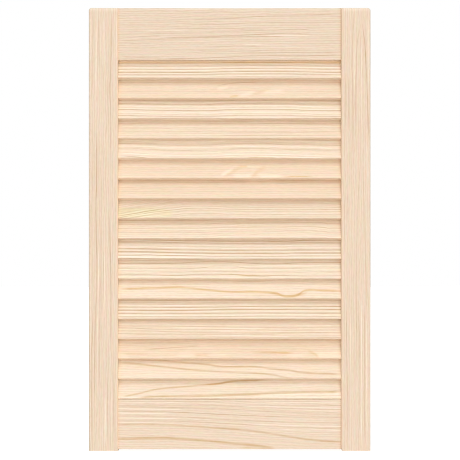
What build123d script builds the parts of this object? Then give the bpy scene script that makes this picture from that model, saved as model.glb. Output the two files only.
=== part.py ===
from build123d import *
import os
from math import asin, atan2, cos, degrees, hypot, sin, tan

# A louvred cabinet door: two stiles, two rails and a ladder of fixed sloping slats, held together with dowels.
# Lengths are in millimetres. X runs across the door, Y from its front to its back, and Z is up.
# The origin is under the middle of the door: on the ground between the feet, half way through the thickness.

# Whole door
door_width = 394
door_height = 620

# Stiles, the two uprights
stile_width = 41
stile_thickness = 21
outer_arris = 2.5  # rounding along the door's outer edges and along its top
inner_arris = 1.2  # rounding along the edges beside the slats and under the feet
top_corner_radius = 4  # of the door's top corners, seen from the front
foot_corner_radius = 4  # of the worn inner corner of the right-hand foot, seen from the front

# Rails, the two cross members
top_rail_height = 73.1
bottom_rail_height = 69.9
rail_setback = 1.5  # from the faces of the stiles back to the faces of the rails
rail_arris = 0.8  # rounding along the rails' other long edges
foot_length = 2.7  # how far the stiles reach below the bottom rail

# Slats
slat_width = 34
slat_thickness = 6
slat_corner_radius = 1
slat_gap = 4.2  # air between neighbouring slats, measured square to them; evened out over the whole run
top_slat_lap = 6.6  # how far the top slat reaches up behind the top rail
bottom_slat_seat = 1.2  # how deep the bottom slat stands in the groove along the top of the bottom rail
housing_depth = 8  # of the blind slots that hold the ends of the slats

# Dowels, two in each corner joint
dowel_diameter = 8
dowel_length = 40
dowel_chamfer = 1
dowel_edge_distance = 17  # from a rail's upper or lower edge to the nearer dowel's axis
flute_count = 12
flute_radius = 0.4

# Clearances
housing_clearance = 0.1  # all round the end of a slat in its slot
housing_end_clearance = 0.3  # beyond the end of a slat
seat_clearance = 0.1  # round the bottom slat in its groove
rebate_clearance = 0.3  # round the top slat where it passes behind the top rail
bore_clearance = 0.05  # all round a dowel
bore_end_clearance = 1  # beyond each end of a dowel, where the glue collects
cut_overrun = 5  # how far a cutting shape runs past the surface that it enters

# Places that follow from the sizes above
stile_outer_x = door_width / 2
stile_inner_x = stile_outer_x - stile_width
rail_thickness = stile_thickness - 2 * rail_setback
bottom_rail_bottom_z = foot_length
bottom_rail_top_z = bottom_rail_bottom_z + bottom_rail_height
top_rail_bottom_z = door_height - top_rail_height

# A slat leans just far enough for its front lower corner to reach the front of the rails and its back upper
# corner to reach their back. Its rise is the height of its sloping front face, and its drop is how far its
# back lower corner lies under the front one.
slat_tilt = asin(rail_thickness / hypot(slat_width, slat_thickness)) - atan2(slat_thickness, slat_width)
slat_rise = slat_width * cos(slat_tilt)
slat_drop = slat_thickness * sin(slat_tilt)
slat_length = 2 * (stile_inner_x + housing_depth - housing_end_clearance)

# The run is the height from the front lower corner of the bottom slat to that of the top slat.
top_slat_reveal = slat_rise - top_slat_lap
slat_run_bottom_z = bottom_rail_top_z - bottom_slat_seat + slat_drop
slat_run_top_z = top_rail_bottom_z - top_slat_reveal
slat_run = slat_run_top_z - slat_run_bottom_z
slat_count = round(slat_run * sin(slat_tilt) / (slat_thickness + slat_gap)) + 1
slat_pitch = slat_run / (slat_count - 1)


def board(left_x, right_x, bottom_z, top_z, thickness):
    """A square-edged board, centred in the thickness of the door."""
    middle = Pos((left_x + right_x) / 2, 0, (bottom_z + top_z) / 2)
    return middle * Box(right_x - left_x, thickness, top_z - bottom_z)


def face_rims(solid):
    """The edges round the front face and the back face of a board."""
    faces = solid.faces().sort_by(Axis.Y)
    return faces[0].edges() + faces[-1].edges()


def slat_section(clearance=0):
    """The leaning cross-section of a slat, grown by a clearance, about the middle of the slat."""
    upright = RectangleRounded(
        slat_thickness + 2 * clearance,
        slat_width + 2 * clearance,
        slat_corner_radius + clearance,
    )
    return Rot(Z=-degrees(slat_tilt)) * upright


def slat_middles():
    """The heights of the middles of the slats, from the top down."""
    to_middle = (slat_rise - slat_drop) / 2
    return [slat_run_top_z + to_middle - number * slat_pitch for number in range(slat_count)]


def dowel_heights():
    """The height of each dowel's axis, by the rail that it holds and its place in the joint."""
    return {
        ("top", "upper"): door_height - dowel_edge_distance,
        ("top", "lower"): top_rail_bottom_z + dowel_edge_distance,
        ("bottom", "upper"): bottom_rail_top_z - dowel_edge_distance,
        ("bottom", "lower"): bottom_rail_bottom_z + dowel_edge_distance,
    }


def housings():
    """The blind slots for the slats, as solids to cut from the right-hand stile."""
    plane = Plane.YZ.offset(stile_inner_x - cut_overrun)
    slot = extrude(plane * slat_section(housing_clearance), cut_overrun + housing_depth)
    return [Pos(0, 0, z) * slot for z in slat_middles()]


def dowel_bores(joint_x):
    """The four bores on one side of the door, each reaching from a rail into the stile."""
    radius = dowel_diameter / 2 + bore_clearance
    bore = Rot(Y=90) * Cylinder(radius, dowel_length + 2 * bore_end_clearance)
    return [Pos(joint_x, 0, z) * bore for z in dowel_heights().values()]


def stile_inner_form(foot_radius):
    """A board too wide and too tall for the right-hand stile, with the stile's inner edge and foot finished."""
    form = board(
        stile_inner_x, stile_outer_x + cut_overrun, 0, door_height + cut_overrun, stile_thickness
    )
    if foot_radius > 0:
        foot_corner = form.edges().filter_by(Axis.Y).group_by(Axis.Z)[0].sort_by(Axis.X)[0]
        form = fillet(foot_corner, foot_radius)
    rims = face_rims(form)
    return fillet(rims.group_by(Axis.X)[0] + rims.group_by(Axis.Z)[0], inner_arris)


def stile_outer_form():
    """A board too wide and too long for the right-hand stile, with the stile's outer edge and top finished."""
    form = board(stile_inner_x - cut_overrun, stile_outer_x, -cut_overrun, door_height, stile_thickness)
    top_corner = form.edges().filter_by(Axis.Y).group_by(Axis.Z)[-1].sort_by(Axis.X)[-1]
    form = fillet(top_corner, top_corner_radius)
    rims = face_rims(form)
    return fillet(rims.group_by(Axis.X)[-1] + rims.group_by(Axis.Z)[-1], outer_arris)


def right_hand_stile(foot_radius=0):
    """A stile with its slots and bores. Its finished shape is what its two forms share."""
    blank = stile_inner_form(foot_radius) & stile_outer_form()
    return blank - housings() - dowel_bores(stile_inner_x)


def rail(bottom_z, top_z, bottom_arris, top_arris):
    """A rail with rounded long edges and a pair of bores in each end."""
    blank = board(-stile_inner_x, stile_inner_x, bottom_z, top_z, rail_thickness)
    blank = fillet(face_rims(blank).group_by(Axis.Z)[-1], top_arris)
    blank = fillet(face_rims(blank).group_by(Axis.Z)[0], bottom_arris)
    return blank - dowel_bores(stile_inner_x) - dowel_bores(-stile_inner_x)


def top_rail():
    """The top rail, cut away behind its lower edge so that the top slat passes up behind it."""
    slat_face_y = top_slat_reveal * tan(slat_tilt) - rail_thickness / 2
    rebate_front_y = slat_face_y - rebate_clearance
    rebate_back_y = rail_thickness / 2 + cut_overrun
    rebate = Pos(0, (rebate_front_y + rebate_back_y) / 2, top_rail_bottom_z) * Box(
        2 * (stile_inner_x + cut_overrun),
        rebate_back_y - rebate_front_y,
        2 * (top_slat_lap + rebate_clearance),
    )
    return rail(top_rail_bottom_z, door_height, rail_arris, outer_arris) - rebate


def bottom_rail():
    """The bottom rail, grooved along its top where the bottom slat stands in it."""
    groove = extrude(Plane.YZ * slat_section(seat_clearance), stile_inner_x + cut_overrun, both=True)
    blank = rail(bottom_rail_bottom_z, bottom_rail_top_z, rail_arris, rail_arris)
    return blank - Pos(0, 0, slat_middles()[-1]) * groove


def slat():
    """One slat, about its own middle."""
    return extrude(Plane.YZ * slat_section(), slat_length / 2, both=True)


def dowel():
    """One fluted dowel with chamfered ends, lying along X about its own middle."""
    pin = Cylinder(dowel_diameter / 2, dowel_length)
    pin = chamfer(pin.edges().filter_by(GeomType.CIRCLE), dowel_chamfer)
    flute = Cylinder(flute_radius, dowel_length + 2 * cut_overrun)
    flutes = [place * flute for place in PolarLocations(dowel_diameter / 2, flute_count)]
    return Rot(Y=90) * (pin - flutes)


def door():
    """Every piece of the door by its name."""
    pieces = {
        "stile_left": mirror(right_hand_stile(), about=Plane.YZ),
        "stile_right": right_hand_stile(foot_corner_radius),
        "rail_top": top_rail(),
        "rail_bottom": bottom_rail(),
    }
    for number, z in enumerate(slat_middles(), start=1):
        pieces[f"slat_{number:02d}"] = Pos(0, 0, z) * slat()
    for side, joint_x in (("left", -stile_inner_x), ("right", stile_inner_x)):
        for (rail_name, level), z in dowel_heights().items():
            pieces[f"dowel_{rail_name}_{side}_{level}"] = Pos(joint_x, 0, z) * dowel()
    return pieces


os.makedirs("parts", exist_ok=True)
for name, piece in door().items():
    export_step(piece, f"parts/{name}.step")
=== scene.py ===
import bpy
from dataclasses import dataclass, field
from math import asin, atan2, cos, hypot, pi, radians, sin
from mathutils import Matrix, Vector


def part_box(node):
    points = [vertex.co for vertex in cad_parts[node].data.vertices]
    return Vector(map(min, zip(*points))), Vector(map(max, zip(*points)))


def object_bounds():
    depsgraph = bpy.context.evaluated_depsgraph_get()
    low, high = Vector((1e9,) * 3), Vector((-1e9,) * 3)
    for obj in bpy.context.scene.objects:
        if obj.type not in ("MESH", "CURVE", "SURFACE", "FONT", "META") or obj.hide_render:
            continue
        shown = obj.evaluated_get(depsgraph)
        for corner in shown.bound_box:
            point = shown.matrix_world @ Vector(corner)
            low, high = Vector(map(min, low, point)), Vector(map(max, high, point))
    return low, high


# A louvred cabinet door in bare pine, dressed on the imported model. Everything is in metres, in the model's
# frame: X runs across the door, Y from its front to its back, and Z is up. Only places in the wood are in
# millimetres, or in percent of the length and width of a board.
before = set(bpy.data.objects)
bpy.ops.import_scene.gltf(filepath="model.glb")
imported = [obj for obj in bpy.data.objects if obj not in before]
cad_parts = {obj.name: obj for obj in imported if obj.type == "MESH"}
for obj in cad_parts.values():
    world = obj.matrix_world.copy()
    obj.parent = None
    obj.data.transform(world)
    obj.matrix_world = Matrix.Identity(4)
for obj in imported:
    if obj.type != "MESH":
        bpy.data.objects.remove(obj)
cad_low, cad_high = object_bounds()

MM = 0.001
UP = Vector((0, 0, 1))
RIGHT = Vector((1, 0, 0))
FRONT = Vector((0, -1, 0))

# The picture
picture_width_px = 460
picture_scale = 1.3972 * MM  # metres to a pixel at the front of the door
camera_distance = 2.1
sensor_width = 36.0  # in mm
picture_shift_right_px = 0.35  # the door stands this far left of the middle of the picture
picture_shift_down_px = 0.5  # and this far above it
pixel_filter_px = 0.95

# The key light, a soft sun: the direction that it comes from, its width and its strength
key_azimuth = radians(14)
key_elevation = radians(50)
key_width = radians(10)
key_strength = 0.55

# The soft lights all round: azimuth and elevation in degrees, how narrow each is, its strength and its colour
white = Vector((1, 1, 1))
soft_lights = {
    "overhead": (0, 90, 2, 0.95, white),
    "front": (0, 0, 8, 1.56, Vector((1, 0.94, 0.89))),
    "low_front": (0, -30, 8, 1.87, Vector((1.0, 0.72, 0.62))),
    "right": (53, 0, 2, 0.67, white),
    "left": (-53, 0, 2, 0.27, white),
    "back": (180, -20, 3, 1.5, Vector((1, 0.92, 0.85))),
}

# The floor, which only the camera sees
floor_size = 12.0
floor_albedo = 0.6
floor_glow = 0.75
floor_roughness = 0.9

# The slats' section, from which their tilt follows as it does in the model
slat_width = 34 * MM
slat_thickness = 6 * MM

# Pine. Its colours are shares of the light that it sends back, and a tone is the percent by which a spot is
# paler than its board, or darker where it is below 0.
late_tone = -40  # of the darkest late wood
early_tone = 25  # of the palest early wood
slat_colour = Vector((0.79, 0.686, 0.536))
frame_colour = Vector((0.733, 0.634, 0.497))
tone_colour = Vector((0.72, 1.02, 1.34))  # how strongly a tone changes red, green and blue
# Some of the rosy tint is painted warm bounce light and shade, at the ends of boards and along some edges.
rosy_colour = (1, 0.80, 0.62, 1)  # a board takes on a share of this tint, or of its opposite
amber_colour = (0.97, 0.88, 0.66, 1)  # the tint of wood full of resin
green_colour = (0.96, 1, 0.88, 1)  # the tint of the greenish streak in one slat

# The grain
ring_half_width = 1.2  # in mm, of one ring
ring_gain = 1.6  # rings are so thin that the picture shows them weaker than they are
line_gain = 2  # and so are single lines
line_fade_share = 0.25  # of its length, over which a line comes in, and goes out again
longest_line_fade = 0.04  # of the board's length
swirl_reach = 9.0  # in mm, across the board
swirl_slimness = 0.3  # how far a swirl reaches across the board for each millimetre along it
grain_slope = 0.6  # how far the grain shifts across a board for each millimetre into it

# The figure, the fainter grain between the rings
figure_tone = 15.5
figure_line_power = 1.6  # the higher it is, the thinner are the figure's dark lines
figure_line_mean = 0.42  # of one wave at that power, so that the lines don't darken the board
figure_line_strength = 0.6

# The surface of the pine
wood_roughness = 0.65
fibre_roughness = -0.3  # added to it on the palest fibres
fibre_relief = 0.6  # how far a pale fibre stands out, as a share of the relief's height
tone_relief = 0.5  # and how far a pale spot does
relief_height = 0.15 * MM
relief_strength = 0.4

# The beech of the dowels, which are hidden inside the corner joints
dark_beech = (0.42, 0.26, 0.15, 1)
pale_beech = (0.60, 0.41, 0.26, 1)
beech_roughness = 0.55
beech_noise_reach = 0.25  # how far the noise strays from 0 where the beech is darkest and palest


@dataclass
class Spots:
    """Random soft spots in wood.

    sizes: how long, wide and deep they are, in mm.
    offset: a number that sets them apart from other spots.
    strength: how much they change what they are added to.
    detail: how many finer spots there are on them.
    """

    sizes: tuple
    offset: int
    strength: float = 1
    detail: float = 2


wander_spots = Spots((60, 20, 20), 0)  # where the grain strays from its course
fading_spots = Spots((45, 6, 20), 3, 1.6)  # where rings and lines are stronger or fainter
patch_spots = Spots((110, 30, 30), 5, 0.07)  # where the whole board is paler or darker
streak_spots = Spots((80, 1.8, 30), 6, 1.1)  # the figure's streaks
waver_spots = Spots((40, 8, 20), 7, 5)  # where the figure strays, in mm
presence_spots = Spots((80, 5, 20), 8, 2.4)  # where the figure is stronger or fainter
fleck_spots = Spots((7, 1.4, 8), 9, 0.2)  # short flecks along the grain
fibre_spots = Spots((14, 0.5, 0.5), 11, 0.16, 3)  # the fibres of the wood
beech_spots = Spots((2.5, 0.3, 0.3), 2)

# How the hue strays from place to place: towards rosy or green, and towards golden or grey
hue_shifts = (
    (Spots((18, 3, 8), 13), Vector((0.17, -0.09, 0))),
    (Spots((18, 3, 8), 14), Vector((0, 0.03, -0.23))),
)


@dataclass
class Kind:
    """What boards of one kind share: a colour, and the painted light and shade along them, mostly at their
    ends.

    ends: a further tone by the percent along the board: mostly painted light, and painted shade where below
    0.
    blush: the percent of rosy tint by the percent along the board, a painted warm tint of bounce light
    and of shade.
    """

    colour: Vector
    ends: dict
    painted_end_tint: dict


# Slats: paler and rosier at both ends beside the stiles, painted warm bounce light in the shaded corners.
slat_kind = Kind(
    slat_colour,
    ends={2.3: 10, 3.6: -1, 5: 0, 95.4: 0, 96.2: 4, 97.7: 7},
    painted_end_tint={2.3: 46, 4: 0, 96: 0, 97.7: 40},
)
# Rails: painted warm bounce light at the left end, and the right stile's rosy painted shadow at the right
# end.
rail_kind = Kind(frame_colour, ends={0: 0, 99.4: 0, 100: -32}, painted_end_tint={0: 50, 1.2: 0, 98: 0, 100: 30})
# Stiles: paler at the foot, painted light in the shade under the bottom rail, and paler along the top edge.
stile_kind = Kind(frame_colour, ends={0: 25, 0.4: 0, 99: 0, 99.6: 12}, painted_end_tint={0: 0, 100: 0})


@dataclass
class Line:
    """One line of the grain, or a stretch of wood that is paler or darker than the rest. Some lines are
    strips of painted light and painted shade along edges.

    course: the points that it passes through, in percent along and across the board.
    amber, green, rosy: how much of each tint it takes on. From 1 up, its middle has all of it.
    """

    tone: float
    course: tuple
    amber: float = 0
    green: float = 0
    rosy: float = 0
    half_width: float = 1.2  # in mm


def painted_edge_shading(tone, start, end, half_width=2.5):
    """Painted light, or painted shade below 0, on the shaded strip under a slat's front, from start to end in
    percent.
    """
    below_front = -5  # percent across the slat
    return Line(tone, ((start, below_front), (end, below_front)), half_width=half_width)


@dataclass
class Board:
    """The grain on the front of one board, with painted light and shade along some of its edges.

    rings: the tone of each ring by its height in mm above the board's lower edge.
    drift: how many mm higher the rings lie, by the percent along the board. upper_drift is the same at the
    board's upper edge, where it differs.
    depth: a further tone by the mm below the front, painted light that makes the board's sides and back
    paler, to lift the shade on its side beside the slats.
    swirls: percent along, mm above the lower edge, and mm by which the rings bulge there.
    tone, rosy: of the whole board. It has the opposite of the rosy tint where rosy is below 0.
    """

    rings: dict = field(default_factory=dict)
    drift: dict = field(default_factory=lambda: {0: 0, 100: 0})
    upper_drift: dict = None
    depth: dict = None
    lines: tuple = ()
    swirls: tuple = ()
    tone: float = 0
    rosy: float = 0
    figure: float = 1  # strength of the figure
    spacing: float = 3.2  # in mm, of the figure's lines
    wander: float = 0.8  # in mm, by which the grain strays from its course


# On each slat the rings and lines from about 23 mm (68 %) up lie in the shade under the slat above, and their
# tones there are partly grain and partly painted shade and light.
slat_boards = {
    1: Board(
        rings={
            23: -12, 20.6: 6, 17.8: -10, 15.9: 17, 13.2: -18, 11.5: 13, 8.7: -27, 7: 9, 5: -20, 2.6: 5, 1: -6,
        },
        drift={0: 0, 33: 0.2, 44: 0.8, 50: 1.3, 70: 1.5, 81: 1.1, 92: 0.2, 100: 0},
        lines=(
            # painted warm light in the shade just under the top rail
            Line(18, ((-2, 81), (102, 81)), rosy=0.5, half_width=2),
            Line(-2, ((-2, 72), (102, 72)), amber=0.7, half_width=2.5),
            Line(6, ((81, 1), (96, 1)), half_width=1.8),
        ),
        tone=1.5,
        rosy=-0.04,
    ),
    2: Board(
        rings={24.5: -12, 20.7: -5, 17: 5, 10: -4, 5: 2, 1.2: 3},
        lines=(
            Line(-9, ((44, 53), (51, 67), (64, 74))),
            Line(5, ((50, 66), (62, 69))),
            Line(-2, ((49.5, 4), (54, 11)), amber=0.8, half_width=3),
            Line(-2, ((59, 2), (62, 25), (68, 42)), amber=0.3, half_width=5),
            Line(7, ((54, 10), (61, 28)), half_width=5),
            Line(6, ((63, 26), (74, 34)), half_width=5),
            Line(4, ((44, 40), (50, 52)), half_width=4),
        ),
        swirls=((56, 14, 2),),
        tone=2.5,
        rosy=0.18,
        figure=0.6,
    ),
    3: Board(
        rings={
            28.2: -18, 25.2: 6, 22.3: -14, 19.2: 13, 17: 6, 14.7: 12, 13.2: -18, 10.2: 12, 8.7: 8, 6: 5,
            4.2: -11, 1.2: 14,
        },
        drift={8: 0, 18: -1, 28: -1.5, 39: -1.4, 50: -0.3, 60: 0, 71: 0, 81: -1, 92: -1.6},
        lines=(painted_edge_shading(-7, 84, 100),),
    ),
    4: Board(
        rings={25.3: -11, 23: -12, 20.8: -5, 17.8: 4, 14.8: -4, 13.3: 4, 10.3: -4, 6: 3, 1.5: 3},
        lines=(Line(-7, ((48, 25), (70, 26), (98, 28))), Line(-8, ((45, 12), (70, 13), (98, 15)))),
        tone=1.5,
        rosy=0.1,
    ),
    5: Board(
        rings={
            28.3: 9, 26.8: 13, 22.3: -13, 19.3: 10, 17.8: 8, 14.8: -13, 10.5: 8, 6.5: 11, 3: 8,
        },
        drift={8: 0.3, 18: -1.5, 28: -2.8, 39: -2.5, 50: -0.5, 60: 0, 71: -1, 81: -1.7, 92: -3},
        lines=(
            Line(-13, ((3, 10), (10, 6), (16, -2))),
            Line(-6, ((56, 3), (70, 3)), amber=0.3, half_width=1.6),
            Line(7, ((76, 2), (91, 2)), half_width=1.6),
        ),
        tone=2,
        rosy=0.02,
    ),
    6: Board(
        rings={24.7: -8, 18: 3, 14: -3, 2: 5},
        lines=(
            Line(-9, ((73, 7), (80, 8), (86, 7)), amber=0.8),
            Line(-2, ((47, 2), (51, 28), (56, 58)), amber=0.4, half_width=6),
            Line(-2, ((54, 50), (58, 54)), amber=0.8, half_width=3),
            Line(-2, ((59, 2), (62, 30), (66, 52)), amber=0.4, half_width=6),
            Line(7, ((46, 12), (52, 44)), half_width=5),
            Line(8, ((51, 8), (60, 12)), half_width=5),
            Line(8, ((61, 9), (73, 9)), half_width=5),
            painted_edge_shading(4, 56, 70),
            Line(6, ((51, 50), (66, 50)), half_width=2),
        ),
        tone=3,
        rosy=0.2,
        figure=0.7,
    ),
    7: Board(
        rings={27: -12, 25.5: -11, 24: -12, 16.4: -3, 10: -2, 5: 2, 1.4: 5},
        lines=(
            Line(6, ((56, 78), (70, 78)), half_width=1.5),
            Line(6, ((56, 69), (70, 69)), half_width=1.5),
        ),
        tone=2,
        rosy=0.2,
        figure=0.8,
    ),
    8: Board(
        rings={25: -5, 16.5: -5, 15: 9, 13.5: -10, 12: 6, 10.5: -4, 7.5: 11, 6: -10, 4.5: 6, 2.9: -3, 1.4: 7},
        drift={0: -15, 4: -12, 8: -9.5, 12: -7, 16: -4, 20: -2.5, 28: -0.5, 39: 1.2, 50: 0, 100: 0},
        upper_drift={0: -15, 8: -12, 16: -8, 20: -5, 28: 0, 39: 2, 50: 0, 100: 0},
        lines=(
            Line(2, ((-2, 22), (8, 24), (14, 24), (26, 24)), green=2, half_width=11),
            Line(-9, ((2, 18), (9, 33), (18, 46))),
            Line(-5, ((2, 36), (9, 46), (16, 53))),
            Line(-12, ((2, 8), (8, 19), (14, 30), (22, 41))),
            Line(11, ((2, 12), (8, 25), (16, 38)), green=1),
            Line(13, ((5, 5), (10, 13), (18, 22)), green=1),
            Line(13, ((10, 3), (18, 9), (26, 11)), green=1),
            Line(5, ((7, 36), (20, 40)), half_width=1.8),
            painted_edge_shading(7, 5, 18),
        ),
        tone=-4.2,
    ),
    9: Board(
        rings={28.6: -15, 25.6: -6, 23: -12, 19.5: 4, 16.5: -9, 14.8: 6, 10.5: -5, 4.5: 2, 3: 9},
        drift={8: -2.2, 18: -1.8, 28: -1.5, 39: -1.4, 50: 0, 71: 0.3, 81: 0.8, 92: -1.5},
        lines=(
            painted_edge_shading(8, 20, 33),
            painted_edge_shading(-12, 64, 80, 2),
            painted_edge_shading(-8, 77, 91),
        ),
        tone=2,
        rosy=0.08,
    ),
    10: Board(
        rings={
            25.6: -26, 24.1: 9, 22.6: -13, 21.1: -9, 19.6: 7, 15.1: 8, 12.1: -27, 10: 8, 7.6: -34, 4.6: 13,
            3.1: -18, 1.6: 8, 0: 24,
        },
        drift={8: 2.5, 18: 1.7, 28: 0.9, 39: 0.3, 50: 0, 71: 0, 81: 0.5, 92: 0.5},
        lines=(
            Line(7, ((-2, 47), (15, 47))),
            Line(7, ((-2, 31), (15, 31))),
            Line(-7, ((-2, 24.9), (15, 24.9))),
            Line(11, ((-2, 16.1), (15, 16.1))),
            Line(-14, ((-2, 11.7), (15, 11.7))),
            Line(7, ((64, 78.5), (80, 78.5))),
            Line(-9, ((64, 73), (80, 73)), amber=0.2),
            painted_edge_shading(16, 36, 62),
            # painted light on the shaded strip under the slat's front
            Line(16, ((40, -6), (57, -6)), half_width=2),
            painted_edge_shading(6, 62, 102),
        ),
        tone=-1.5,
        rosy=-0.08,
    ),
    11: Board(
        rings={19.7: 9, 18: 6, 13.3: 9, 7.6: 6, 2.5: 9, 0.5: 14},
        lines=(
            Line(
                -15,
                (
                    (-2, 64), (17, 65), (28, 66), (38, 73), (49, 72.5), (60, 66), (70, 63.5), (81, 68.5),
                    (102, 69.5),
                ),
            ),
            Line(
                -9,
                ((-2, 45), (17, 43.3), (30, 42), (38, 46), (44, 54), (51, 54), (58, 44), (70, 42), (84, 46)),
            ),
            Line(-2, ((52, 15), (64, 12)), amber=0.6, half_width=2),
            painted_edge_shading(-7, -2, 50),
            Line(-14, ((54, 7.5), (69, 7.5)), amber=0.2),
            painted_edge_shading(-12, 68, 102),
            Line(-7, ((17, 27), (28, 26.5), (38, 31), (49, 31), (60, 27), (70, 27), (102, 27.5))),
            Line(
                -15,
                (
                    (-2, 18.5), (8, 18), (17, 15.5), (28, 13.5), (38, 18), (49, 17.5), (60, 12), (70, 12),
                    (81, 10), (102, 11),
                ),
            ),
        ),
        tone=2.2,
    ),
    12: Board(
        rings={26: -12, 24.5: -4, 19: 5},
        lines=(
            Line(
                -10,
                (
                    (3, 41), (18, 45), (28, 48.5), (32, 45.5), (40, 37), (50, 29), (62, 28), (70, 22),
                    (72, 14), (75, 10), (79, 16), (84, 37), (90, 35), (98, 31),
                ),
                amber=1,
                half_width=2.7,
            ),
            Line(-9, ((66, 26), (71, 17), (75, 8), (80, 16), (84, 33)), amber=0.8, half_width=3),
            Line(-3, ((86, 35), (92, 33), (101, 30)), rosy=0.4, half_width=2.5),
            # painted light on the shaded strip under the slat's front
            Line(7, ((51, -4), (64, -4)), half_width=2.5),
            Line(-11, ((50, 72.5), (66, 72.5)), half_width=1.4),
            Line(-5, ((59, 12), (74, 12)), amber=0.25, half_width=2),
        ),
        tone=8.5,
        rosy=0.08,
    ),
    13: Board(
        rings={
            27.3: -22, 22.3: 4, 21.3: -6, 19.8: 16, 15.3: 14, 10.5: 14, 7.7: -18, 4.7: 17, 3: -13, 0.2: 23,
        },
        drift={0: 0, 28: -0.3, 60: 0.3, 100: 0},
        lines=(
            Line(
                -16,
                (
                    (-2, 49.8), (12, 48.5), (28, 47.6), (36, 47.9), (45, 49.2), (60, 51.3), (72, 52),
                    (102, 51.7),
                ),
            ),
            Line(
                -20,
                ((-2, 36), (12, 34.1), (24, 33.7), (34, 33.8), (45, 37.5), (55, 38.4), (80, 39), (102, 38.1)),
            ),
            Line(-10, ((8, 34.5), (20, 33.8), (32, 33.8))),
            Line(6, ((10, 22), (24, 22)), half_width=1.6),
            Line(-8, ((59, 61), (73, 61))),
        ),
        tone=-2,
        rosy=-0.03,
    ),
    14: Board(
        rings={26: -7, 24.5: -6, 22.8: 6, 1.8: -14, 0.3: 9},
        lines=(
            Line(-12, ((-2, 54), (17, 54), (39, 51.5), (50, 49.5), (102, 49.5))),
            Line(-12, ((-2, 46), (8, 45), (17, 41), (39, 40.5), (50, 38), (60, 36), (102, 36))),
            Line(-11, ((-2, 32), (17, 32), (28, 27.5), (102, 27.5))),
            Line(-11, ((-2, 22), (17, 18.5), (72, 18.5))),
            Line(7, ((0, 67), (26, 67))),
            Line(7, ((0, 59), (42, 57))),
            Line(6, ((48, 54), (102, 54))),
            Line(12, ((24, 45.5), (66, 44))),
            Line(11, ((44, 32), (102, 32))),
            Line(9, ((38, 14), (55, 13), (62, 10), (78, 10))),
        ),
        tone=2.5,
        rosy=0.07,
    ),
    15: Board(
        rings={26: -4, 22.5: 3, 19.5: -3, 18.4: -8, 12.4: -4, 2: 4},
        lines=(
            Line(-8, ((60, 27), (70, 25), (78, 24)), amber=1, half_width=2.5),
            Line(-5, ((3, 19.5), (16, 19.5)), amber=0.2, half_width=2),
            Line(6, ((1, 11), (7, 10)), rosy=0.1, half_width=4),
            painted_edge_shading(13, 14, 31),
            Line(5, ((27, 17), (36, 17)), rosy=0.08, half_width=6),
            Line(-3, ((34.5, 16), (41.5, 16)), amber=0.3, half_width=5),
            Line(4, ((40, 17), (50, 17)), rosy=0.08, half_width=5),
            Line(6, ((74, 12), (83, 12)), half_width=4),
            Line(-5, ((83, 36), (85.5, 24), (88.5, 4)), amber=0.5, half_width=4),
            Line(7, ((85.5, 17), (99, 17)), rosy=0.1, half_width=7),
            Line(-7, ((3, 62), (16, 66), (30, 66))),
            Line(-11, ((13, 38), (25, 46), (38, 55)), half_width=1.5),
        ),
        tone=4,
        rosy=0.24,
    ),
    16: Board(
        rings={26: -6, 24.5: -3},
        lines=(
            Line(
                -14,
                (
                    (3, 84), (13, 82), (28, 70), (40, 60), (46, 52), (62, 49), (68, 41), (74, 37), (82, 25),
                    (98, 19),
                ),
                amber=0.35,
                half_width=2.4,
            ),
            Line(
                -13,
                ((3, 67), (10, 62), (22, 50), (34, 37), (50, 27), (60, 23), (68, 16), (73, 6), (78, -2)),
                amber=0.35,
                half_width=2.4,
            ),
            Line(6, ((12, 62), (27, 60)), half_width=2),
            Line(6, ((15, 80), (28, 71), (37, 62)), half_width=2.4),
            Line(5, ((38, 58), (54, 54)), half_width=2),
        ),
        tone=7,
        rosy=0.09,
    ),
    17: Board(
        rings={26: -6, 2.7: 4, 1: 8},
        lines=(
            Line(-12, ((38, 57.5), (45, 63), (51, 73), (58, 79), (68, 82)), amber=0.4, half_width=2.5),
            Line(
                -10,
                ((3, 6), (10, 19), (20, 41), (32, 52), (38, 58), (45, 64), (51, 74), (66, 83)),
                amber=0.45,
                half_width=2.2,
            ),
            Line(
                -12,
                (
                    (10, -2), (16, 7), (28, 10), (40, 12), (50, 15), (61, 19), (70, 23), (80, 26), (90, 26.5),
                    (98, 28),
                ),
                amber=0.5,
                half_width=3,
            ),
            Line(8, ((60, 12), (80, 20), (102, 22)), half_width=2.5),
            Line(-7, ((47, 69), (64, 73)), half_width=2),
            Line(-5, ((65, 29), (82, 31), (100, 35)), half_width=2.5),
        ),
        tone=5,
    ),
}

top_rail_board = Board(
    drift={0: 0, 50: 2, 100: 3.5},
    lines=(
        # painted highlight along the top edge
        Line(5, ((-2, 98.5), (102, 98.5)), half_width=3),
        # painted warm light on the lower edge, in the shade above the top slat
        Line(16, ((-2, -0.5), (102, -0.5)), rosy=0.6),
        Line(-9, ((33, 78), (50, 79.5), (64, 83.5), (80, 85.5), (100, 88.5))),
        Line(-6, ((35, 68), (49, 69), (60, 71.5), (77, 71.5), (99, 73))),
        Line(-6, ((23, 60), (60, 60), (68, 59.5))),
        Line(5, ((57, 55.5), (75, 57.5))),
        Line(-8, ((12, 52), (38, 52.5), (49, 54.5), (72, 57.5), (87, 58.5))),
        Line(-11, ((21, 43), (38, 45), (49, 46.5), (60, 48.5), (72, 50.5), (87, 49))),
        Line(-6, ((0, 42), (11, 45), (21, 48))),
        Line(-9, ((0, 37), (16, 39), (38, 43), (49, 44.5), (75, 45))),
        Line(-6, ((39, 24), (49, 26), (65, 26.5))),
        Line(-6, ((35, 18), (60, 18.5), (87, 19.5))),
        Line(-9, ((53, 14.5), (83, 14.5), (100, 15.5))),
        Line(-12, ((21, 2.5), (38, 3.5), (49, 6), (60, 8), (83, 8.5), (100, 10))),
        Line(-6, ((0, 6.5), (21, 4))),
        Line(9, ((10, 55.5), (32, 57.5))),
        Line(10, ((65, 47), (87, 47))),
        Line(7, ((55, 29.5), (66, 30.5))),
        Line(7, ((0, 40.5), (11, 42))),
    ),
    rosy=-0.05,
    figure=1.2,
    wander=2,
)
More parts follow.
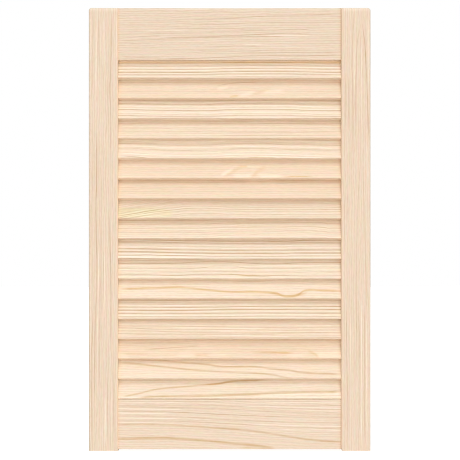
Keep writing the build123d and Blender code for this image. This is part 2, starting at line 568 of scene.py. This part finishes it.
bottom_rail_board = Board(
    drift={0: 0, 17: -0.5, 39: -2, 50: -3.5, 60: -5, 71: -6.5, 81: -8, 92: -9, 100: -9.5},
    lines=(
        Line(
            -11,
            (
                (-2, 49), (23, 48.8), (32, 46.6), (41, 43.6), (50, 41.2), (59, 37.4), (68, 31.6), (86, 19.5),
                (102, 14),
            ),
            amber=0.4,
            half_width=2.5,
        ),
        Line(
            -12,
            (
                (-2, 20.5), (14, 22), (23, 21.8), (32, 19.6), (41, 16.4), (50, 12.6), (59, 9), (68, 3.4),
                (71, 0),
            ),
            amber=0.65,
            half_width=3,
        ),
        Line(6, ((4, 49.3), (36, 48.5)), half_width=2),
        Line(-4, ((5, 24.5), (26, 24)), amber=0.3, half_width=2),
        Line(-3, ((54, 4), (60, 3), (69, 0)), amber=0.4, half_width=3),
        Line(-8, ((56, 88.5), (80, 87.8), (102, 86.8))),
        # painted shade along the top edge, under the lowest slat
        Line(-11, ((-2, 99.8), (102, 99.8))),
        Line(3, ((-2, 97.6), (102, 97.6))),
        Line(-4, ((-2, 95.8), (102, 95.8))),
        Line(-7, ((-2, 88), (27, 88.5), (49, 86), (72, 82), (102, 79))),
        Line(-9, ((-2, 85), (27, 83.5), (49, 80), (72, 75), (102, 72))),
        Line(-12, ((-2, 77), (27, 74), (49, 69), (72, 65.5), (102, 64))),
        Line(-9, ((-2, 67), (27, 65), (49, 59), (72, 55), (102, 53))),
        Line(-9, ((-2, 57), (27, 56), (49, 51.5), (72, 45), (102, 41.5))),
        Line(9, ((0, 93), (30, 93))),
        Line(9, ((66, 93), (102, 94))),
        Line(10, ((55, 86), (83, 84), (102, 82))),
        Line(12, ((-2, 81.5), (30, 79.5))),
        Line(12, ((-2, 72.5), (24, 71))),
        Line(13, ((-2, 62.5), (27, 61))),
        Line(9, ((-2, 53.5), (27, 52))),
        Line(10, ((59, 50.5), (83, 47), (102, 45.5))),
        Line(8, ((71, 39.5), (102, 38))),
        Line(7, ((82, 77), (102, 77))),
    ),
    tone=5,
    rosy=0.03,
    figure=1.1,
    wander=1,
)
left_stile_board = Board(
    lines=(
        # painted highlight along the outer edge
        Line(5, ((-1, 98), (101, 98)), half_width=3),
        # painted warm bounce light along the inner edge, beside the slats
        Line(9, ((-1, 0), (101, 0)), rosy=0.6, half_width=2.8),
        Line(-7, ((79, 89.5), (89, 86), (99, 83))),
        Line(-7, ((86, 64), (99, 66))),
        Line(-13, ((11, 79.5), (28, 77.5), (35, 74), (42, 72), (49, 74.5), (55, 75), (62, 72.5), (72, 73.5))),
        Line(-9, ((1, 88.5), (22, 89.5), (26, 87), (33, 85))),
        Line(-8, ((13, 62.5), (28, 61.5), (35, 60.5), (42, 58.5), (53, 58.5))),
        Line(-7, ((33, 48.5), (46, 48.5))),
        Line(-8, ((67, 25), (76, 25), (82, 27.5), (89, 23.5), (99, 21))),
        Line(-11, ((23, 24), (35, 24), (42, 25), (49, 28.5), (54, 30))),
        Line(-8, ((1, 34.5), (18, 36.5))),
        Line(-8, ((1, 14), (18, 14.5))),
        Line(8, ((80, 76), (99, 72.5))),
        Line(8, ((34, 66), (46, 66))),
        Line(8, ((31, 45.5), (46, 45.5))),
        Line(11, ((1, 42), (13, 43.5))),
        Line(8, ((86, 48.5), (99, 48.5))),
        Line(6, ((88, 59), (99, 59))),
        Line(7, ((25, 71), (31, 69))),
        Line(7, ((25, 31.5), (38, 30.5))),
        Line(6, ((1, 21.5), (15, 21.5))),
        Line(8, ((88, 6), (99, 7))),
    ),
    tone=1,
    rosy=-0.02,
    # painted light on the sides and back, most of all to lift the shade on the side beside the slats
    depth={2.5: 0, 5: 12, 21: 12},
    figure=1.05,
    wander=2,
)
right_stile_board = Board(
    lines=(
        # faint painted shade along the outer edge
        Line(-1, ((-1, 1), (101, 1)), half_width=3),
        # painted warm bounce light along the inner edge, beside the slats
        Line(8, ((-1, 100), (101, 100)), rosy=0.5, half_width=3),
        Line(-8, ((72, 75), (86, 75))),
        Line(-8, ((73, 85), (86, 85))),
        Line(-8, ((67, 61), (82, 61), (89, 62), (99, 57.5))),
        Line(-9, ((72, 52), (79, 51), (86, 49.5), (91, 46.5), (95, 37.5), (97, 30.5))),
        Line(-14, ((69, 6), (76, 9.5), (84, 13.5), (90, 18), (94, 23.5), (97, 30.5))),
        Line(-6, ((23, 47.5), (41, 47.5), (49, 46), (57, 42), (63, 37.5), (66, 30.5))),
        Line(-7, ((32, 13.5), (43, 17), (50, 20.5), (58, 23.5), (66, 30.5))),
        Line(-8, ((1, 21), (34, 21))),
        Line(-8, ((2, 40.5), (15, 37.5), (22, 37.5), (32, 40.5))),
        Line(-8, ((1, 78), (14, 78), (20, 81.5), (34, 81.5))),
        Line(-7, ((52, 78), (59, 78))),
        Line(-6, ((44, 88.5), (59, 88.5))),
        Line(9, ((80, 55), (93, 54.5))),
        Line(9, ((80, 5.5), (90, 7.5), (99, 8.5))),
        Line(6, ((72, 30.5), (93, 31))),
        Line(9, ((1, 12.5), (31, 13))),
        Line(8, ((1, 31), (34, 32))),
        Line(6, ((18, 68), (32, 68))),
        Line(5, ((58, 10), (72, 13.5))),
    ),
    tone=1,
    # painted light on the sides and back, most of all to lift the shade on the side beside the slats
    depth={2.5: 0, 5: 32, 21: 32},
    figure=0.9,
    wander=2,
)


class Nodes:
    """Adds nodes to one shader tree. What a method gives back is the socket that holds its result."""

    def __init__(self, tree):
        self.tree = tree

    def add(self, kind, inputs=(), output=0, **settings):
        node = self.tree.nodes.new(kind)
        for name, value in settings.items():
            setattr(node, name, value)
        self.feed(node, inputs)
        return node.outputs[output]

    def feed(self, node, inputs):
        """Gives a node's inputs their values, or links them to the sockets that hold their values."""
        for key, value in dict(inputs).items():
            if isinstance(value, bpy.types.NodeSocket):
                self.tree.links.new(value, node.inputs[key])
            else:
                node.inputs[key].default_value = value

    def math(self, operation, *values):
        return self.add("ShaderNodeMath", dict(enumerate(values)), operation=operation)

    def times_plus(self, value, factor, more):
        return self.math("MULTIPLY_ADD", value, factor, more)

    def split(self, vector):
        node = self.add("ShaderNodeSeparateXYZ", {0: vector}).node
        return node.outputs[0], node.outputs[1], node.outputs[2]

    def noise(self, place, spots, seed=0):
        """Noise about 0, from -0.5 to 0.5, with such spots."""
        start = seed + spots.offset
        steps = [self.times_plus(part, 1 / size, start) for part, size in zip(place, spots.sizes)]
        vector = self.add("ShaderNodeCombineXYZ", dict(enumerate(steps)))
        inputs = {"Vector": vector, "Scale": 1.0, "Detail": spots.detail}
        return self.math("SUBTRACT", self.add("ShaderNodeTexNoise", inputs), 0.5)

    def vary(self, value, place, spots, seed, gain=1):
        """The value, made larger or smaller by such spots."""
        return self.times_plus(self.noise(place, spots, seed), gain * spots.strength, value)

    def curve(self, value, points, smooth=True):
        """The height of a curve through the points. Past its ends it stays level."""
        output = self.add("ShaderNodeFloatCurve", {"Value": value})
        mapping = output.node.mapping
        mapping.use_clip = False
        mapping.extend = "HORIZONTAL"
        knots = mapping.curves[0].points
        first, last = points[0], points[-1]
        knots[0].location = first
        knots[1].location = last
        for point in points[1:-1]:
            knots.new(*point)
        for knot in knots:
            knot.handle_type = "AUTO" if smooth else "VECTOR"
        mapping.update()
        return output

    def span(self, value, low, high, to_low=0.0, to_high=1.0):
        """A smooth step from to_low to to_high, as the value goes from low to high."""
        inputs = {"Value": value, "From Min": low, "From Max": high, "To Min": to_low, "To Max": to_high}
        return self.add("ShaderNodeMapRange", inputs, interpolation_type="SMOOTHSTEP")

    def mix(self, factor, first, second, blend_type="MIX"):
        inputs = {0: factor, 6: first, 7: second}
        return self.add("ShaderNodeMix", inputs, output=2, data_type="RGBA", blend_type=blend_type)


def new_material(name):
    """A new material, its shader, and its tree to add nodes to."""
    material = bpy.data.materials.new(name)
    material.use_nodes = True
    tree = material.node_tree
    return material, tree.nodes["Principled BSDF"], Nodes(tree)


def ring_profile(rings):
    """The tone, as a share, across a board: each ring is a peak that falls off evenly to both sides."""
    knots = sorted({height + step for height in rings for step in (-ring_half_width, 0, ring_half_width)})
    profile = []
    for knot in knots:
        tone = sum(tone * max(0, 1 - abs(knot - height) / ring_half_width) for height, tone in rings.items())
        profile.append((knot, tone * ring_gain / 100))
    return profile


def rings_of(n, board, flow, width, fading):
    """The tone of the rings, which are mirrored where the grain runs past the board's edges."""
    across = n.math("PINGPONG", flow, width)
    return n.math("MULTIPLY", n.curve(across, ring_profile(board.rings), smooth=False), fading)


def figure_of(n, board, place, grain_place, seed):
    """The figure: fine wavering lines, thin where dark, that come and go along the board, and streaks."""
    wavering = n.vary(grain_place[1], place, waver_spots, seed)
    wave = n.math("SINE", n.math("MULTIPLY", wavering, 2 * pi / board.spacing))
    line = n.math("POWER", n.times_plus(wave, 0.5, 0.5), figure_line_power)
    presence = n.vary(1.0, place, presence_spots, seed)
    lines = n.math("MULTIPLY", n.math("SUBTRACT", figure_line_mean, line), presence)
    return n.vary(n.math("MULTIPLY", lines, figure_line_strength), grain_place, streak_spots, seed)


def drift_of(n, board, along, across):
    """How many mm higher the rings lie here than the board's rings say."""

    def curve(drift):
        return n.curve(along, [(percent / 100, rise) for percent, rise in drift.items()])

    low = curve(board.drift)
    if board.upper_drift is None:
        return low
    rise = n.math("SUBTRACT", curve(board.upper_drift), low)
    return n.times_plus(rise, across, low)


def painted_end_shading_of(n, ends, along):
    """The painted light and shade, or the painted warm tint, of boards of one kind here, as a share."""
    return n.curve(along, [(percent / 100, value / 100) for percent, value in ends.items()], smooth=False)


def swirl_of(n, swirl, place, size):
    """How far a swirl pushes the grain up: most at its middle, and fading out along and across the board."""
    percent, height, bulge = swirl
    length, width = size[:2]
    along = n.math("MULTIPLY", n.math("SUBTRACT", place[0], length * (percent / 100 - 0.5)), swirl_slimness)
    across = n.math("SUBTRACT", place[1], height - width / 2)
    distance = n.math("SQRT", n.times_plus(along, along, n.math("MULTIPLY", across, across)))
    return n.span(distance, 0.0, swirl_reach, bulge, 0.0)


def line_of(n, line, along, across, width, fading):
    """How strongly one line shows here: from 0 beside it and past its ends to about 1 along its middle."""
    course = [(a / 100, b / 100) for a, b in line.course]
    start, end = course[0][0], course[-1][0]
    fade = min(line_fade_share * (end - start), longest_line_fade)
    strength = [(start, 0), (start + fade, 1), (end - fade, 1), (end, 0)]
    distance = n.math("ABSOLUTE", n.math("SUBTRACT", across, n.curve(along, course)))
    body = n.span(distance, 0.0, line.half_width / width, 1.0, 0.0)
    body = n.math("MULTIPLY", body, n.curve(along, strength, smooth=False))
    return n.math("MULTIPLY", body, fading)


def place_of(n, name, along, facing):
    """Where this spot is, in mm from the middle of the piece: along it, across it and towards its front."""
    low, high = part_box(name)
    inputs = {
        "Vector": n.add("ShaderNodeTexCoord", output="Object"),
        "Location": (low + high) / 2,
        "Rotation": Matrix((along, facing.cross(along), facing)).transposed().to_euler(),
        "Scale": (MM, MM, MM),
    }
    return n.split(n.add("ShaderNodeMapping", inputs, vector_type="TEXTURE"))


def colour_of(n, board, kind, tone, amber, green, rosy):
    """The colour of wood with this tone and these tints, a mixture of late and early wood."""
    tones = {"Value": tone, "From Min": late_tone / 100, "From Max": early_tone / 100}
    share = n.add("ShaderNodeMapRange", tones)
    colour = [c * (1 + board.rosy * (tint - 1)) for c, tint in zip(kind.colour, rosy_colour)]
    late_wood = [c * (1 + late_tone / 100 * t) for c, t in zip(colour, tone_colour)]
    early_wood = [c * (1 + early_tone / 100 * t) for c, t in zip(colour, tone_colour)]
    wood = n.mix(share, (*late_wood, 1), (*early_wood, 1))
    wood = n.mix(amber, wood, amber_colour, "MULTIPLY")
    wood = n.mix(green, wood, green_colour, "MULTIPLY")
    return n.mix(rosy, wood, rosy_colour, "MULTIPLY")


def vary_hue(n, colour, place, seed):
    """The colour, with a hue that strays from place to place."""
    for spots, shift in hue_shifts:
        patches = n.noise(place, spots, seed)
        tint = n.add("ShaderNodeVectorMath", {0: patches, 1: shift, 2: (1, 1, 1)}, operation="MULTIPLY_ADD")
        colour = n.add("ShaderNodeVectorMath", {0: colour, 1: tint}, operation="MULTIPLY")
    return colour


def pine(name, board, kind, along, facing, size, seed):
    """The bare pine of one board, with painted light and shade at its ends, on its sides and along some
    edges.

    along, facing: the directions of the board's length and of its front.
    size: its length, width and thickness in mm.
    """
    length, width, thickness = size
    material, shader, n = new_material(name)
    place = place_of(n, name, along, facing)

    # Where this spot is on the board's front, once the grain's slope through the board is taken out
    inward = n.times_plus(place[2], grain_slope, width / 2 - grain_slope * thickness / 2)
    height = n.math("ADD", place[1], inward)
    along_share = n.times_plus(place[0], 1 / length, 0.5)
    across_share = n.math("DIVIDE", height, width)
    flow = n.math("SUBTRACT", height, drift_of(n, board, along_share, across_share))
    flow = n.vary(flow, place, wander_spots, seed, board.wander)
    for swirl in board.swirls:
        flow = n.math("SUBTRACT", flow, swirl_of(n, swirl, place, size))
    grain_place = (place[0], flow, place[2])

    # The tone here, and how much of each tint the wood takes on, with the painted light and shade
    tone = n.vary(board.tone / 100, place, patch_spots, seed)
    figure = figure_of(n, board, place, grain_place, seed)
    tone = n.times_plus(figure, figure_tone / 100 * board.figure, tone)
    tone = n.vary(tone, grain_place, fleck_spots, seed)
    fibre = n.noise(place, fibre_spots, seed)
    tone = n.times_plus(fibre, fibre_spots.strength, tone)
    fading = n.vary(1.0, place, fading_spots, seed)
    if board.rings:
        tone = n.math("ADD", tone, rings_of(n, board, flow, width, fading))
    # Painted light and shade at the board's ends
    tone = n.math("ADD", tone, painted_end_shading_of(n, kind.ends, along_share))
    # Painted light on the board's sides and back, by the mm below its front
    if board.depth:
        depth = n.math("SUBTRACT", thickness / 2, place[2])
        painted_side_light = [(below, tone_there / 100) for below, tone_there in board.depth.items()]
        tone = n.math("ADD", tone, n.curve(depth, painted_side_light, smooth=False))
    amber = green = 0.0
    # A painted warm tint at the board's ends, to which the lines below add their rosy tint
    rosy = painted_end_shading_of(n, kind.painted_end_tint, along_share)
    for line in board.lines:
        body = line_of(n, line, along_share, across_share, width, fading)
        tone = n.times_plus(body, line.tone * line_gain / 100, tone)
        if line.amber:
            amber = n.times_plus(body, line.amber, amber)
        if line.green:
            green = n.times_plus(body, line.green, green)
        if line.rosy:
            rosy = n.times_plus(body, line.rosy, rosy)

    colour = colour_of(n, board, kind, tone, amber, green, rosy)
    relief = n.times_plus(fibre, fibre_relief, n.math("MULTIPLY", tone, tone_relief))
    bump = {"Height": relief, "Distance": relief_height, "Strength": relief_strength}
    surface = {
        "Base Color": vary_hue(n, colour, grain_place, seed),
        "Roughness": n.times_plus(fibre, fibre_roughness, wood_roughness),
        "Normal": n.add("ShaderNodeBump", bump),
    }
    n.feed(shader, surface)
    return material


def beech():
    """The plain beech of the dowels, which lie along X."""
    material, shader, n = new_material("beech")
    position = n.add("ShaderNodeTexCoord", output="Object")
    local = n.add("ShaderNodeMapping", {"Vector": position, "Scale": (1 / MM, 1 / MM, 1 / MM)})
    fleck = n.noise(n.split(local), beech_spots)
    share = n.span(fleck, -beech_noise_reach, beech_noise_reach)
    n.feed(shader, {"Base Color": n.mix(share, dark_beech, pale_beech), "Roughness": beech_roughness})
    return material


def dress():
    """Gives each piece of the door its wood."""
    slat_low, slat_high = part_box("slat_01")
    rail_low, rail_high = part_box("rail_bottom")
    rail_thickness = rail_high.y - rail_low.y
    diagonal = hypot(slat_width, slat_thickness)
    tilt = asin(rail_thickness / diagonal) - atan2(slat_thickness, slat_width)
    slat_facing = Vector((0, -cos(tilt), sin(tilt)))
    slat_size = (slat_high.x - slat_low.x) / MM, slat_width / MM, slat_thickness / MM
    dowel_wood = beech()
    frame_boards = {
        "stile_left": left_stile_board,
        "stile_right": right_stile_board,
        "rail_top": top_rail_board,
        "rail_bottom": bottom_rail_board,
    }
    for seed, (name, node) in enumerate(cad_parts.items()):
        if name.startswith("slat"):
            board = slat_boards[int(name.removeprefix("slat_"))]
            material = pine(name, board, slat_kind, RIGHT, slat_facing, slat_size, seed)
        elif name in frame_boards:
            board = frame_boards[name]
            low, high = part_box(name)
            span = (high - low) / MM
            if name.startswith("stile"):
                material = pine(name, board, stile_kind, UP, FRONT, (span.z, span.x, span.y), seed)
            else:
                material = pine(name, board, rail_kind, RIGHT, FRONT, (span.x, span.z, span.y), seed)
        else:
            material = dowel_wood
        node.material_slots[0].material = material


def aim(thing, place, target):
    """Puts a camera or a light at a place and turns it towards a target."""
    thing.location = place
    thing.rotation_euler = (target - place).to_track_quat("-Z", "Y").to_euler()


def add_camera():
    """A camera straight in front of the door, framed as the picture is."""
    data = bpy.data.cameras.new("camera")
    camera = bpy.data.objects.new("camera", data)
    bpy.context.scene.collection.objects.link(camera)
    middle = (cad_low + cad_high) / 2
    across = picture_shift_right_px * picture_scale
    down = picture_shift_down_px * picture_scale
    place = Vector((middle.x + across, cad_low.y - camera_distance, middle.z - down))
    aim(camera, place, place - FRONT)
    data.sensor_width = sensor_width
    data.lens = sensor_width * camera_distance / (picture_width_px * picture_scale)
    bpy.context.scene.camera = camera


def toward(azimuth, elevation):
    """The direction of a light. Azimuth 0 is straight in front of the door, and it grows to the right."""
    level = cos(elevation)
    return Vector((sin(azimuth) * level, -cos(azimuth) * level, sin(elevation)))


def add_key():
    """The key light, which casts the soft shadows."""
    data = bpy.data.lights.new("key", "SUN")
    data.angle = key_width
    data.energy = key_strength
    key = bpy.data.objects.new("key", data)
    bpy.context.scene.collection.objects.link(key)
    aim(key, toward(key_azimuth, key_elevation), Vector((0, 0, 0)))


def add_world():
    """Soft light from a few broad directions. The camera sees plain white instead."""
    world = bpy.data.worlds.new("studio")
    world.use_nodes = True
    bpy.context.scene.world = world
    tree = world.node_tree
    tree.nodes.clear()
    n = Nodes(tree)
    direction = n.add("ShaderNodeTexCoord", output="Generated")
    light = (0, 0, 0)
    for azimuth, elevation, narrowness, strength, colour in soft_lights.values():
        centre = toward(radians(azimuth), radians(elevation))
        facing = n.add("ShaderNodeVectorMath", {0: direction, 1: centre}, output=1, operation="DOT_PRODUCT")
        lobe = n.math("POWER", n.math("MAXIMUM", facing, 0.0), narrowness)
        inputs = {0: lobe, 1: colour * strength, 2: light}
        light = n.add("ShaderNodeVectorMath", inputs, operation="MULTIPLY_ADD")
    seen = n.add("ShaderNodeLightPath", output="Is Camera Ray")
    fill = n.add("ShaderNodeBackground", {"Color": light, "Strength": 1.0})
    backdrop = n.add("ShaderNodeBackground", {"Color": (1, 1, 1, 1), "Strength": 1.0})
    both = n.add("ShaderNodeMixShader", {0: seen, 1: fill, 2: backdrop})
    n.feed(tree.nodes.new("ShaderNodeOutputWorld"), {"Surface": both})


def add_floor():
    """A white floor, which throws no light on the door: the soft lights stand in for it."""
    bpy.ops.mesh.primitive_plane_add(size=floor_size, location=(0, 0, cad_low.z))
    floor = bpy.context.object
    floor.name = "floor"
    floor.visible_diffuse = False
    floor.visible_glossy = False
    floor.visible_shadow = False
    material, shader, n = new_material("floor")
    surface = {
        "Base Color": (floor_albedo, floor_albedo, floor_albedo, 1),
        "Roughness": floor_roughness,
        "Emission Color": (1, 1, 1, 1),
        "Emission Strength": floor_glow,
    }
    n.feed(shader, surface)
    floor.data.materials.append(material)


add_camera()
add_key()
add_world()
add_floor()
dress()
bpy.context.scene.view_settings.view_transform = "Standard"
bpy.context.scene.cycles.filter_width = pixel_filter_px
